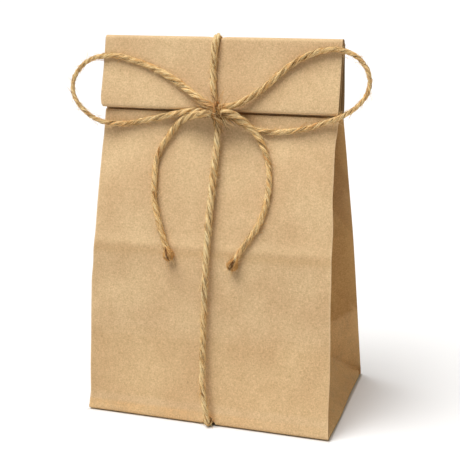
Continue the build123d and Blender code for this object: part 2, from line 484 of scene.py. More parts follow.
def ringPoint(ring, column, row):
    # one vertex of a ring from its place in the ground grid
    layer, front, back, fold = ring
    half = bagForm["width"] / 2
    columns, rows, steps = bagForm["columns"], bagRows, bagForm["gussetSteps"]
    side = -1 if column == 0 else 1
    nose = bagForm["nose"]
    if row in (0, rows):
        edge = front if row == 0 else back
        share = 2 * column / columns - 1
        return Vector((half * share - (side * nose if column in (0, columns) else 0.0), edge.y, edge.z))
    across = (back - front).normalized()
    lip = bagForm["lip"]
    if row in (1, rows - 1):
        point = front + across * lip / 2 if row == 1 else back - across * lip / 2
        return Vector((side * half, point.y, point.z))
    fromFront = row <= rows / 2
    edge = front + across * lip if fromFront else back - across * lip
    edge = Vector((side * (half - nose), edge.y, edge.z))
    share = (row - 2) / steps if fromFront else (rows - 2 - row) / steps
    return edge.lerp(Vector((side * fold.x, fold.y, fold.z)), share)


def setOrder(elements, place):
    # extruding leaves its new elements in any order, so they are numbered by their place
    ranks = {element: rank for rank, element in enumerate(sorted(elements, key=place))}
    elements.sort(key=ranks.get)
    elements.index_update()


def foldBag():
    columns, rows = bagForm["columns"], bagRows
    deselectAll()
    bpy.ops.mesh.primitive_grid_add(x_subdivisions=columns, y_subdivisions=rows, size=1)
    bag = bpy.context.object
    bag.name = "paperBag"
    bpy.ops.object.mode_set(mode="EDIT")
    cage = bmesh.from_edit_mesh(bag.data)
    columnOf = cage.verts.layers.int.new("column")
    rowOf = cage.verts.layers.int.new("row")
    cage.verts.layers.int.new("layer")
    inset = Vector((0, bagForm["bottomRound"], 0))
    ground = (body, frontPoint(0) + inset, backPoint(0) - inset, Vector((bagForm["width"] / 2, 0, 0)))
    for vert in cage.verts:
        vert[columnOf] = round((vert.co.x + 0.5) * columns)
        vert[rowOf] = round((vert.co.y + 0.5) * rows)
        right = ringPoint(ground, columns, vert[rowOf])  # spread between the two sides
        share = 2 * vert[columnOf] / columns - 1
        vert.co = Vector((right.x * share, right.y, 0))
    bpy.ops.mesh.select_all(action="SELECT")
    bpy.ops.mesh.region_to_loop()
    for ring in bagStations():
        bpy.ops.mesh.extrude_edges_move()
        cage = bmesh.from_edit_mesh(bag.data)
        columnOf = cage.verts.layers.int["column"]
        rowOf = cage.verts.layers.int["row"]
        layerOf = cage.verts.layers.int["layer"]
        for vert in cage.verts:
            if vert.select:
                vert.co = ringPoint(ring, vert[columnOf], vert[rowOf])
                vert[layerOf] = ring[0]
    bpy.ops.mesh.edge_face_add()  # the cut edge of the paper, inside the roll
    bpy.ops.mesh.select_all(action="SELECT")
    bpy.ops.mesh.remove_doubles(threshold=0.01 * mm)
    bpy.ops.mesh.normals_make_consistent(inside=False)
    cage = bmesh.from_edit_mesh(bag.data)
    setOrder(cage.verts, lambda vert: vert.co.to_tuple())
    setOrder(cage.faces, lambda face: face.calc_center_median().to_tuple())
    bmesh.update_edit_mesh(bag.data)
    bpy.ops.object.mode_set(mode="OBJECT")
    return bag


def byHeight(table, height):
    # a value read between the two nearest heights of a table
    level = height / mm
    if level <= table[0][0]:
        return table[0][1] * mm
    for (low, first), (high, second) in zip(table, table[1:]):
        if level <= high:
            return lerp(first, second, smoothStep(low, high, level)) * mm
    return table[-1][1] * mm


def gridVerts(bag):
    # each vertex with its place in the ground grid and its layer
    places = [bag.data.attributes[name].data for name in ("column", "row", "layer")]
    for vert in bag.data.vertices:
        yield vert, *(place[vert.index].value for place in places)


def strayFolds(bag):
    # the side folds wander in and out as they do on a bag that has been handled
    form, creep = bagForm, bagCreep
    half, rows = form["width"] / 2, bagRows
    for vert, column, row, layer in gridVerts(bag):
        x, y, z = vert.co
        name = "Right" if x > 0 else "Left"
        near = smoothStep(creep["panelReach"] * half, half, abs(x))
        if layer in (body, neck):
            start, run = creep["sideReach"]
            outward = near if row in (0, rows) else clamped((abs(x) - start * half) / (run * half))
            toBack = smoothStep(0.3 * rows, 0.7 * rows, row)
            atFront = byHeight(creep["front" + name], z)
            vert.co.x += outward * lerp(atFront, byHeight(creep["back" + name], z), toBack)
            behind = clamped((row - 2) / (rows - 4))
            forward = creep["skew"] * (half + x) / 2 * (1 - behind)
            vert.co.y -= forward * within((creep["skewRise"], 0), z)
            vert.co.z -= creep["rollTilt"] * x * smoothStep(creep["tiltFrom"] * mm, form["neckHeight"], z)
        else:
            vert.co.z -= creep["rollTilt"] * x
            tight = near if x > 0 else smoothStep(half - creep["rollEdge"] * mm, half, abs(x))
            vert.co.x += tight * byHeight(creep["flap" + name], z)


twinePress = {  # where the twine presses into the paper, millimetres
    "below": 30,
    "under": 1,  # lower than this is the underside
    "footAt": 3.0,
    "footHalf": (3.2, 1.8),
    "footDeep": 3.4,
    "panelFrom": 30,  # the front and back panels lie further from the middle
    "panelDeep": 1.3,
    "panelRise": (18, 4),
    "saddleAt": -2.7,
    "saddleWidth": 2.8,
    "saddleDeep": 1.0,
    "saddleRise": (188, 198),
}


def twineDents(bag):
    # along the underside, up the front and back, and over the top
    creep, press = bagCreep, twinePress
    half = bagForm["depth"] / 2
    for vert, column, row, layer in gridVerts(bag):
        x, y, z = vert.co
        if layer == body and z < press["below"] * mm:
            edge = creep["edgeLift"] * smoothStep(half - creep["edgeSpan"] * mm, half, abs(y))
            side = creep["sideLift"] * within(creep["sideSpan"], abs(x))
            vert.co.z += max(edge, side) * mm * within((creep["liftRise"], 0), z)
            trough = within(press["footHalf"], abs(x - press["footAt"] * mm))
            if z < press["under"] * mm:
                vert.co.z += press["footDeep"] * mm * trough
            elif abs(y) > press["panelFrom"] * mm:
                deep = press["panelDeep"] * mm * trough * within(press["panelRise"], z)
                vert.co.y -= math.copysign(deep, y)
        elif layer in (neck, overTop, flap):
            saddle = bell(x - press["saddleAt"] * mm, press["saddleWidth"] * mm)
            saddle *= within(press["saddleRise"], z)
            vert.co.z -= press["saddleDeep"] * mm * saddle


def tuckDent(point):
    # depth of the fold from the back corner of the bottom up to the tip of the tuck
    form = bagForm
    corner = Vector((form["width"] / 2, form["depth"] / 2, form["bottomRound"]))
    tip = Vector((form["width"] / 2 - form["tuckDepth"], form["tuckCentre"], form["tuckRise"]))
    spot = Vector((abs(point.x), point.y, point.z))
    run = (tip - corner).normalized()
    along = (spot - corner).dot(run)
    aside = (spot - corner - run * along).length
    return bell(aside, bagCreep["tuckWidth"] * mm) * within(bagCreep["tuckRun"], along)


def panelWave(x, z, seed):
    broad = noise.noise(Vector((x * 24, seed, z * 20)))
    fine = noise.noise(Vector((x * 60, seed + 3, z * 52)))
    return broad + 0.5 * fine


foldMarks = {  # fold marks, painted light and painted shade of the panels, heights in millimetres
    "ridgeHeight": 0.3,
    "ridge": (1.0, 1.6, 3.0),  # how strong, how far above the crease, how wide
    "pale": (0.32, 4.8, 2.4),
    "shade": (0.26, -1.1, 2.6),
    "from": 10,
    "bandClear": (2, 7),  # flat under the band
    "lowShade": 0.1,  # painted shade: the front is darker below the half fold, in two steps
    "lowFirst": (49, 47.5),
    "lowSecond": (45, 43),
    "lowFoot": (5, 9),
    "footRise": (7.5, 6),  # painted bounce light: a warm band at the foot, which fades to the right
    "footAcross": (-20, 45),
    "footLeast": 0.35,
    "sideLowShade": 0.42,
    "sidePale": 0.25,
    "sidePaleStart": (85, 112),
    "sidePaleEnd": (142, 118),
    "sideSoft": 2.5,
    # painted light that lightens the tuck triangle
    "tuckPaintedLight": 0.35,
    "tuckSoft": 2,
    "rollWear": 0.5,
    "rollEdgeWear": 0.3,
}


def markAt(name, above):
    strength, offset, width = foldMarks[name]
    return strength * bell(above - offset * mm, width * mm)


def softenBag(bag):
    # gentle waves in the panels, flat fold marks, and masks of rubbed folds, painted light and painted
    # shade
    form, creep, marks = bagForm, bagCreep, foldMarks
    mesh = bag.data
    lightAndWearMask = mesh.attributes.new("foldWearAndLight", "FLOAT", "POINT")
    foot = mesh.attributes.new("paintedFootLight", "FLOAT", "POINT")
    shadeMask = mesh.attributes.new("paintedShade", "FLOAT", "POINT")
    ply = mesh.attributes.new("plyShade", "FLOAT", "POINT")
    half, rows = form["width"] / 2, bagRows
    normals = [vert.normal.copy() for vert in mesh.vertices]
    for (vert, column, row, layer), normal in zip(gridVerts(bag), normals):
        x, y, z = vert.co
        onEdge = column in (0, form["columns"]) and (row <= 2 or row >= rows - 2)
        wearAndLight = 1.0 if onEdge else 0.0
        if layer == body:
            above = z - form["creaseHeight"]
            held = within(creep["waveFoot"], z) * within(creep["waveTop"], z)
            toBack = smoothStep(0.35 * rows, 0.65 * rows, row)  # both faces of a panel move together
            wave = lerp(panelWave(x, z, 1.3), panelWave(x, z, 8.9), toBack)
            vert.co.y += wave * creep["wave"] * mm * held
            toFront = smoothStep(rows / 2, 2, row) * mm
            atEdge = lerp(0.4, 1.0, smoothStep(half, half - creep["bulgeEdge"] * mm, abs(x)))
            lip = smoothStep(creep["lipFrom"] * mm, form["neckHeight"], z) * toFront
            upper = clamped(above / (form["neckHeight"] - form["creaseHeight"]))
            out = creep["bulge"] * math.sin(math.pi * upper)
            out += creep["swell"] * within(creep["swellRise"], z)
            vert.co.y -= out * toFront * atEdge + creep["lipForward"] * lip
            vert.co.z += creep["lipRise"] * lip
            if rows / 2 < row < rows - 1:
                vert.co -= normal * tuckDent(vert.co) * creep["tuckDent"] * mm
            if row in (0, rows) and z > marks["from"] * mm:
                clear = within(marks["bandClear"], abs(x))
                vert.co += normal * marks["ridgeHeight"] * markAt("ridge", above) * atEdge * clear * mm
                # painted highlight just above the crease
                wearAndLight = max(wearAndLight, markAt("pale", above))
                low = within(marks["lowFirst"], z) + within(marks["lowSecond"], z)
                low *= marks["lowShade"] * within(marks["lowFoot"], z)
                # painted shade below the half fold and just under the crease
                shadeMask.data[vert.index].value = low + markAt("shade", above)
            # painted bounce light at the foot
            faded = lerp(1.0, marks["footLeast"], within(marks["footAcross"], x))
            warm = within(marks["footRise"], z) * faded
            # the sides: painted shade, none on the tuck and full above the turn, eased higher up
            if 1 < row < rows - 1:
                inward = (row - 2 if row <= rows / 2 else rows - 2 - row) / form["gussetSteps"]
                turned = lerp(form["halfFold"], form["tuckRise"], inward)  # where the side turns in
                tucked = lerp(form["bottomRound"], form["tuckRise"], inward)
                soft = marks["sideSoft"] * mm
                paler = marks["sidePale"] * within(marks["sidePaleStart"], z)
                deep = 1 - paler * within(marks["sidePaleEnd"], z)
                low = lerp(0.0, marks["sideLowShade"], smoothStep(tucked, tucked + soft, z))
                shadeMask.data[vert.index].value = lerp(low, deep, smoothStep(turned, turned + soft, z))
                # painted bounce light low on the sides
                warm = max(warm, smoothStep(turned + soft, turned, z))
                # painted light on the tuck triangle
                wearAndLight = max(wearAndLight, marks["tuckPaintedLight"] * smoothStep(tucked + marks["tuckSoft"] * mm, tucked, z))
            foot.data[vert.index].value = warm
        else:
            vert.co.y += noise.noise(Vector((x * 20, 5.5, z * 9))) * creep["rollWave"] * mm
            if layer in (flap, lowFold, secondTurn):
                vert.co.y -= creep["flare"] * mm * within(creep["flareRise"], z)
            folded = layer in (overTop, lowFold) and not onEdge
            wearAndLight = max(marks["rollEdgeWear"] * wearAndLight, marks["rollWear"] if folded else 0.0)
            # painted shade on the ends of the roll
            if 0 < row < rows:
                ply.data[vert.index].value = 1.0
        lightAndWearMask.data[vert.index].value = wearAndLight


paperBag = foldBag()
strayFolds(paperBag)
twineDents(paperBag)
softenBag(paperBag)
pickOnly(paperBag)
bpy.ops.object.shade_smooth_by_angle(angle=math.radians(38))
paperBag.data.materials.append(paperMaterial)
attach(paperBag, "root")
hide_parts("paper_bag")
print("paper bag folded:", len(paperBag.data.polygons), "faces")


# twine routes, millimetres

knotAt = Vector((1.0, -13.04, 163.5))
bandRoute = [
    (0.0, -11.4, 165.0), (-0.6, -10.4, 168.5), (-2.1, -8.2, 174.5), (-3.0, -4.6, 186.0),
    (-2.8, -1.6, 196.0), (-2.4, 0.4, 198.9), (-2.8, 3.7, 199.8), (-3.0, 7.2, 197.8), (-1.7, 11.4, 179.2),
    (2.4, 40.7, 25.0), (2.9, 44.8, 5.0), (3.0, 43.6, 1.7), (3.0, 21.5, 1.8), (3.0, -21.7, 1.8),
    (3.0, -39.0, 1.8), (2.8, -47.6, 1.6), (3.1, -48.0, 6.5), (-0.1, -44.6, 20.6), (-0.8, -40.4, 38.9),
    (-0.5, -36.8, 62.8), (-0.1, -33.0, 88.6), (0.4, -25.2, 115.6), (1.3, -17.4, 139.4),
    (1.8, -13.4, 152.0), (0.2, -12.0, 160.5),
]
leftLoopRoute = [
    (-1.0, 0.4, 1.3), (-4.9, -0.6, 2.7), (-10.9, 0.8, 6.5), (-22.3, 5.5, 13.0), (-37.0, 8.8, 20.1),
    (-51.8, 10.1, 24.6), (-64.3, 10.8, 26.9), (-75.9, 8.8, 24.2), (-83.8, 6.6, 16.4), (-84.5, 4.0, 6.9),
    (-78.8, 1.4, -0.8), (-68.6, 0.6, -8.1), (-53.9, 2.3, -9.8), (-39.3, 2.7, -6.5), (-25.3, 2.6, -3.4),
    (-13.2, 1.2, -0.7), (-5.0, 0.4, -0.9), (-1.0, 1.2, -0.9),
]
rightLoopRoute = [
    (1.0, 0.4, 1.3), (5.0, -0.4, 1.6), (12.3, 0.6, 3.1), (23.2, 4.6, 9.8), (34.8, 9.0, 20.8),
    (47.0, 11.1, 28.1), (59.8, 12.0, 31.0), (71.2, 10.2, 27.9), (78.2, 7.2, 20.4), (79.4, 4.8, 12.5),
    (76.5, 2.4, 5.8), (68.7, 1.2, -0.9), (57.3, 2.9, -5.6), (45.0, 2.3, -9.4), (33.1, 2.1, -11.3),
    (20.9, 2.0, -10.7), (11.7, 1.5, -5.9), (5.1, 0.8, -2.1), (1.0, 1.2, -0.9),
]
leftTailRoute = [
    (-1.0, -0.6, -0.9), (-5.0, -2.0, -1.7), (-11.7, -0.7, -2.6), (-21.5, 2.2, -6.7), (-27.8, 0.3, -15.4),
    (-33.2, -3.3, -24.7), (-33.2, -7.5, -36.1), (-32.7, -10.8, -46.4), (-29.8, -13.6, -56.3),
    (-26.1, -16.0, -65.3), (-21.4, -19.4, -77.4),
]
rightTailRoute = [
    (1.0, -0.6, 0.7), (5.1, -2.2, -0.3), (12.0, -1.9, -2.6), (18.9, -1.2, -8.0), (24.3, -1.2, -15.3),
    (28.7, -3.3, -24.9), (30.5, -7.4, -35.8), (29.5, -10.8, -46.3), (26.4, -13.7, -56.4),
    (21.1, -15.7, -64.1), (16.7, -17.3, -70.6), (11.8, -19.8, -80.0),
]
knotWrapRoute = [
    (0.5, 2.4, 0.6), (0.5, 2.2, 3.0), (0.3, -0.4, 4.0), (0.0, -2.6, 3.2), (-0.2, -3.2, 0.0),
    (0.0, -2.6, -3.2), (0.2, -0.4, -4.0), (0.5, 2.2, -3.0), (0.6, 2.6, 0.0),
]

twineForm = {
    "diameter": 3.5 * mm,
    "plies": 3,
    "plyOffset": 0.8 * mm,  # middle of a ply from the middle of the twine
    "plyRadius": 0.88 * mm,
    "lump": 0.22,
    "lumpRate": 0.35,  # changes to each millimetre of twine
    "unevenRate": 0.16,
    "slackRate": 0.05,
    "mapShift": 0.37,
    "loopMiddle": 0.52,  # share of a loop where it is wound closest, and the spread of that
    "loopSpread": 0.16,
    "budBack": 2.8 * mm,  # a cut end opens into a bud and closes at its tip
    "budWidth": 2.2 * mm,
    "budOpen": 0.6,
    "budThick": 0.1,
    "tipClose": 0.35,
    "tipLength": 2 * mm,
    "sides": 12,
    "step": 0.6 * mm,
}
hairForm = {
    "thin": 0.06 * mm,
    "thick": 0.13 * mm,
    "fibreThin": 0.06 * mm,
    "fibreThick": 0.14 * mm,
    "steps": 5,
    "fibreSteps": 6,
    "shortest": 2.0,
    "longest": 6.5,
    "root": 1.1,  # millimetres from the middle of the twine
    "bend": 0.35,
    "bush": 0.22,  # share of a tail's hairs that stand in a brush at its end
    "bushSpan": 0.06,
    "fibreRun": (5, 11),
    "fibreDrift": 0.7,
    "fibreLift": 0.16,
    "fibreTints": (0.1, 0.35, 0.6, 0.8, 0.95, 1.0),
    "frays": 150,
    "frayReach": (5.0, 8.0),
    "frayWide": (0.4, 2.3),
    "frayTint": (0.1, 0.5),
    "frayCollar": (1.3, 0.9),
    "fraySlitShade": -0.93,  # fibres that face the front this much are tinted dark, painted shade of a slit
    "wispReach": (3, 11),
    "floorGap": 0.15 * mm,
    "leastStep": 0.02 * mm,
}


def readLine(name, route, start):
    # the route as control points of one smooth spline, read back as points
    curve = bpy.data.curves.new(name, "CURVE")
    curve.dimensions = "3D"
    curve.resolution_u = 24
    spline = curve.splines.new("NURBS")
    spline.points.add(len(route) - 1)
    for point, place in zip(spline.points, route):
        point.co = (*((start + Vector(place)) * mm), 1.0)
    spline.order_u = 3
    spline.use_endpoint_u = True
    holder = bpy.data.objects.new(name, curve)
    bpy.context.scene.collection.objects.link(holder)
    mesh = bpy.data.meshes.new_from_object(holder)
    points = [vert.co.copy() for vert in mesh.vertices]
    bpy.data.objects.remove(holder)
    bpy.data.curves.remove(curve)
    bpy.data.meshes.remove(mesh)
    return points


def evenPoints(points, step):
    lengths = [0.0]
    for before, after in zip(points, points[1:]):
        lengths.append(lengths[-1] + (after - before).length)
    count = max(2, round(lengths[-1] / step))
    spread, index = [], 0
    for number in range(count + 1):
        target = lengths[-1] * number / count
        while index < len(points) - 2 and lengths[index + 1] < target:
            index += 1
        run = lengths[index + 1] - lengths[index]
        share = (target - lengths[index]) / run if run else 0.0
        spread.append(points[index].lerp(points[index + 1], share))
    return spread, lengths[-1]


def around(side, other, turn):
    return side * math.cos(turn) + other * math.sin(turn)


def carriedFrames(points):
    # tangent and two sides at each point, carried along without twist
    frames = []
    side = None
    for index, point in enumerate(points):
        ahead = points[min(index + 1, len(points) - 1)] - points[max(index - 1, 0)]
        tangent = ahead.normalized()
        if side is None:
            side = tangent.orthogonal().normalized()
        side = (side - tangent * side.dot(tangent)).normalized()
        frames.append((point, tangent, side, tangent.cross(side)))
    return frames


def addStrandMap(mesh, corners):
    layer = mesh.uv_layers.new(name="strandMap")
    for loop, corner in zip(layer.data, corners):
        loop.uv = corner


def newPiece(name, verts, faces):
    mesh = bpy.data.meshes.new(name)
    mesh.from_pydata(verts, [], faces)
    mesh.shade_smooth()
    piece = bpy.data.objects.new(name, mesh)
    bpy.context.scene.collection.objects.link(piece)
    return piece


def pointMask(piece, name, values):
    mask = piece.data.attributes.new(name, "FLOAT", "POINT")
    for item, value in zip(mask.data, values):
        item.value = value


def tubeMesh(name, strands):
    # strands: lists of (centre, outward, across, radius, along), as closed tubes with a map along each
    sides = twineForm["sides"]
    verts, faces, corners, grooveShade = [], [], [], []
    for number, strand in enumerate(strands):
        first = len(verts)
        shift = twineForm["mapShift"] * number
        for centre, outward, across, radius, along in strand:
            for corner in range(sides):
                turn = 2 * math.pi * corner / sides
                level = along / mm * twineForm["lumpRate"]
                place = Vector((math.cos(turn) * 1.7 + 5 * number, math.sin(turn) * 1.7, level))
                swell = radius * (1 + twineForm["lump"] * noise.noise(place))
                verts.append(centre + around(outward, across, turn) * swell)
                # painted shade: darker where a ply turns in towards the groove
                grooveShade.append(smoothStep(0.35, -0.2, math.cos(turn)))
        for ring in range(len(strand) - 1):
            low, high = first + ring * sides, first + (ring + 1) * sides
            start, end = strand[ring][4] / mm, strand[ring + 1][4] / mm
            for corner in range(sides):
                after = (corner + 1) % sides
                faces.append((low + corner, low + after, high + after, high + corner))
                left, right = corner / sides + shift, (corner + 1) / sides + shift
                corners.extend(((left, start), (right, start), (right, end), (left, end)))
        for ring, flip in ((0, True), (len(strand) - 1, False)):
            loop = [first + ring * sides + corner for corner in range(sides)]
            faces.append(tuple(reversed(loop)) if flip else tuple(loop))
            corners.extend([(0.5 + shift, strand[ring][4] / mm)] * sides)
    piece = newPiece(name, verts, faces)
    addStrandMap(piece.data, corners)
    pointMask(piece, "grooveShade", grooveShade)
    return piece


def sizeAlong(sizes, share):
    # thickness of the twine at a share of its length, read between the given ones
    for (low, first), (high, second) in zip(sizes, sizes[1:]):
        if share <= high:
            return lerp(first, second, smoothStep(low, high, share))
    return sizes[-1][1]


def twistTurn(along, length, pitch, tight):
    # angle of the lay at a length, wound closer round the outer half of a loop
    spread = twineForm["loopSpread"]
    closer = spread * math.sqrt(math.pi) / 2 * math.erf((along / length - twineForm["loopMiddle"]) / spread)
    return -2 * math.pi * (along + tight * length * closer) / pitch


def twistedStrands(points, pitch, sizes, flare=0.0, tight=0.0):
    # plies laid round each other, thick or thin along the way and spread at a cut end
    form = twineForm
    even, length = evenPoints(points, form["step"])
    frames = carriedFrames(even)
    strands = []
    for ply in range(form["plies"]):
        centres = []
        for index, (point, tangent, side, other) in enumerate(frames):
            share = index / (len(frames) - 1)
            along = length * share
            slack = noise.noise(Vector((along / mm * form["slackRate"], ply * 3.1, 1.7)))
            turn = 2 * math.pi * ply / form["plies"] + twistTurn(along, length, pitch, tight) + slack
            lump = noise.noise(Vector((along / mm * form["unevenRate"], 7.3 * ply, 0.4)))
            uneven = 1 + form["lump"] * lump
            spread = flare * bell(length - along - form["budBack"], form["budWidth"])
            tip = lerp(form["tipClose"], 1.0, smoothStep(0, form["tipLength"], length - along))
            closing = lerp(1.0, tip, flare)
            size = sizeAlong(sizes, share)
            outward = around(side, other, turn)
            offset = form["plyOffset"] * size * (1 + form["budOpen"] * spread) * closing
            radius = form["plyRadius"] * size * uneven * (1 + form["budThick"] * spread) * closing
            centres.append((point + outward * offset, outward, radius, along))
        strand = []
        for index, (centre, outward, radius, along) in enumerate(centres):
            ahead = centres[min(index + 1, len(centres) - 1)][0] - centres[max(index - 1, 0)][0]
            run = ahead.normalized()
            outer = (outward - run * outward.dot(run)).normalized()
            strand.append((centre, outer, run.cross(outer), radius, along))
        strands.append(strand)
    return strands, even, length


paperSkin = BVHTree.FromObject(paperBag, bpy.context.evaluated_depsgraph_get())


def offPaper(point, room):
    # keeps a hair on top of the paper and off the floor
    spot, normal, face, distance = paperSkin.find_nearest(point, 8 * mm)
    if spot is not None and (point - spot).dot(normal) < room:
        point = spot + normal * room
    return Vector((point.x, point.y, max(point.z, hairForm["floorGap"])))


def hairMesh(name, hairs):
    # hairs: (line, thickness, tint), each a thin three-sided taper
    verts, faces, tints = [], [], []
    for line, thick, tint in hairs:
        steps = [(after - before).length for before, after in zip(line, line[1:])]
        if min(steps) < hairForm["leastStep"]:
            continue  # pressed flat by the paper or the floor
        first = len(verts)
        last = len(line) - 1
        for step, (centre, tangent, side, other) in enumerate(carriedFrames(line)):
            slim = thick * (1 - 0.6 * step / last)
            for corner in range(3):
                verts.append(centre + around(side, other, 2 * math.pi * corner / 3) * slim)
                tints.append(tint)
        for step in range(last):
            low, high = first + 3 * step, first + 3 * step + 3
            for corner in range(3):
                after = (corner + 1) % 3
                faces.append((low + corner, low + after, high + after, high + corner))
        end = first + 3 * last
        faces.append((first + 2, first + 1, first))
        faces.append((end, end + 1, end + 2))
    piece = newPiece(name, verts, faces)
    pointMask(piece, "tint", tints)
    return piece


def bentHair(start, way, reach, curl, thick):
    steps = hairForm["steps"]
    line = []
    for step in range(steps + 1):
        share = step / steps
        bent = way * share + curl * hairForm["bend"] * share * share
        line.append(offPaper(start + bent * reach, thick))
    return line


def drawVector(draw, *spans):
    return Vector([draw.uniform(*span) for span in spans])


def strayHairs(points, amount, seed, longest, bush=0.0):
    # thin hairs that have worked loose along the twine, and a brush of them at a cut end
    draw = random.Random(seed)
    frames = carriedFrames(evenPoints(points, 1.0 * mm)[0])
    last = len(frames) - 1
    hairs = []
    for _ in range(amount):
        place = draw.random()
        if draw.random() < bush:
            place = 1 - hairForm["bushSpan"] * place
        point, tangent, side, other = frames[min(int(place * last), last)]
        turn = draw.uniform(0, 2 * math.pi)
        outward = around(side, other, turn)
        way = tangent * draw.choice((-1, 1)) * draw.uniform(0.7, 1.8) + outward * draw.uniform(0.15, 0.9)
        reach = draw.uniform(hairForm["shortest"], longest) * mm * draw.random() ** 0.5
        curl = drawVector(draw, (-1, 1), (-1, 1), (-1.2, 0.6))
        thick = draw.uniform(hairForm["thin"], hairForm["thick"])
        line = bentHair(point + outward * hairForm["root"] * mm, way.normalized(), reach, curl, thick)
        hairs.append((line, thick, draw.uniform(0.2, 1.0)))
    return hairs


def layFibres(points, pitch, sizes, amount, seed, tight):
    # fibres that lie on the plies, each a little off their lay
    draw = random.Random(seed)
    even, length = evenPoints(points, 0.5 * mm)
    frames = carriedFrames(even)
    last = len(frames) - 1
    steps = hairForm["fibreSteps"]
    third = 2 * math.pi / twineForm["plies"]
    offset, radius = twineForm["plyOffset"], twineForm["plyRadius"]
    hairs = []
    for _ in range(amount):
        run = draw.uniform(*hairForm["fibreRun"]) * mm
        start = draw.uniform(0, length - run)
        phase = draw.uniform(-0.5, 0.5) * third
        ply = draw.randrange(twineForm["plies"])
        drift = draw.uniform(-hairForm["fibreDrift"], hairForm["fibreDrift"])
        lift = draw.uniform(0.0, hairForm["fibreLift"]) * mm
        surface = offset * math.cos(phase) + math.sqrt(radius ** 2 - (offset * math.sin(phase)) ** 2)
        line = []
        for step in range(steps + 1):
            along = start + run * step / steps
            point, tangent, side, other = frames[min(round(along / length * last), last)]
            turn = third * ply + phase + twistTurn(along, length, pitch, tight)
            turn += drift * (step / steps - 0.5)
            outward = around(side, other, turn)
            raised = surface * sizeAlong(sizes, along / length) + lift * math.sin(math.pi * step / steps)
            line.append(point + outward * raised)
        thick = draw.uniform(hairForm["fibreThin"], hairForm["fibreThick"])
        hairs.append((line, thick, draw.choice(hairForm["fibreTints"])))
    return hairs


def frayedEnd(points, amount, seed):
    # fibres that open round a cut end like a bud, with painted shade of a slit in front
    draw = random.Random(seed)
    even, length = evenPoints(points, 0.25 * mm)
    frames = carriedFrames(even)
    last = len(frames) - 1
    steps = hairForm["fibreSteps"]
    hairs = []
    for _ in range(amount):
        turn = draw.uniform(0, 2 * math.pi)
        reach = draw.uniform(*hairForm["frayReach"]) * mm
        widest = draw.uniform(*hairForm["frayWide"]) * mm
        tint = draw.uniform(*hairForm["frayTint"])
        thick = draw.uniform(hairForm["fibreThin"], hairForm["fibreThick"])
        line = []
        for step in range(steps + 1):
            share = step / steps
            back = round(reach * (1 - share) / length * last)
            point, tangent, side, other = frames[max(0, last - back)]
            outward = around(side, other, turn)
            wide = lerp(*hairForm["frayCollar"], share) * mm + widest * math.sin(math.pi * share ** 1.3)
            line.append(offPaper(point + outward * wide, thick))
        # painted shade of the slit
        if outward.y < hairForm["fraySlitShade"]:
            tint = 0.0
        hairs.append((line, thick, tint))
    return hairs


def knotWisps(seed, amount):
    # longer hairs that fan out of the knot, most of them down to the right
    draw = random.Random(seed)
    ways = (Vector((1.0, 0.1, -0.6)), Vector((1.0, 0.0, -0.4)), Vector((1.0, 0.1, -0.8)),
            Vector((-1.0, -0.2, 0.2)), Vector((0.4, -0.2, 0.9)))
    hairs = []
    for _ in range(amount):
        stray = drawVector(draw, (-0.3, 0.3), (-0.3, 0.3), (-0.3, 0.3))
        way = (draw.choice(ways) + stray).normalized()
        root = drawVector(draw, (-3, 3), (-3.2, -1.2), (-3.4, 1.5))
        curl = drawVector(draw, (-1.4, 1.4), (-0.6, 0.6), (-1.6, 1.2))
        thick = draw.uniform(hairForm["thin"], hairForm["thick"]) * 2
        line = bentHair((knotAt + root) * mm, way, draw.uniform(*hairForm["wispReach"]) * mm, curl, thick)
        hairs.append((line, thick, draw.random() ** 2))
    return hairs


def finishTwine(piece, material, *nodes):
    piece.data.materials.append(material)
    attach(piece, "root")
    if nodes:
        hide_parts(*nodes)


wrapLine = readLine("wrapLine", knotWrapRoute, knotAt)
wrapStrands = twistedStrands(wrapLine, 16 * mm, ((0, 0.4), (0.5, 0.46), (1, 0.4)))[0]
bowKnot = tubeMesh("bowKnot", wrapStrands)
finishTwine(bowKnot, wrapShadeMaterial, "bow_knot")
knotFuzz = hairMesh("knotFuzz", strayHairs(wrapLine, 40, 3, 6.0) + knotWisps(5, 150))
finishTwine(knotFuzz, fuzzMaterial)
print("knot tied")

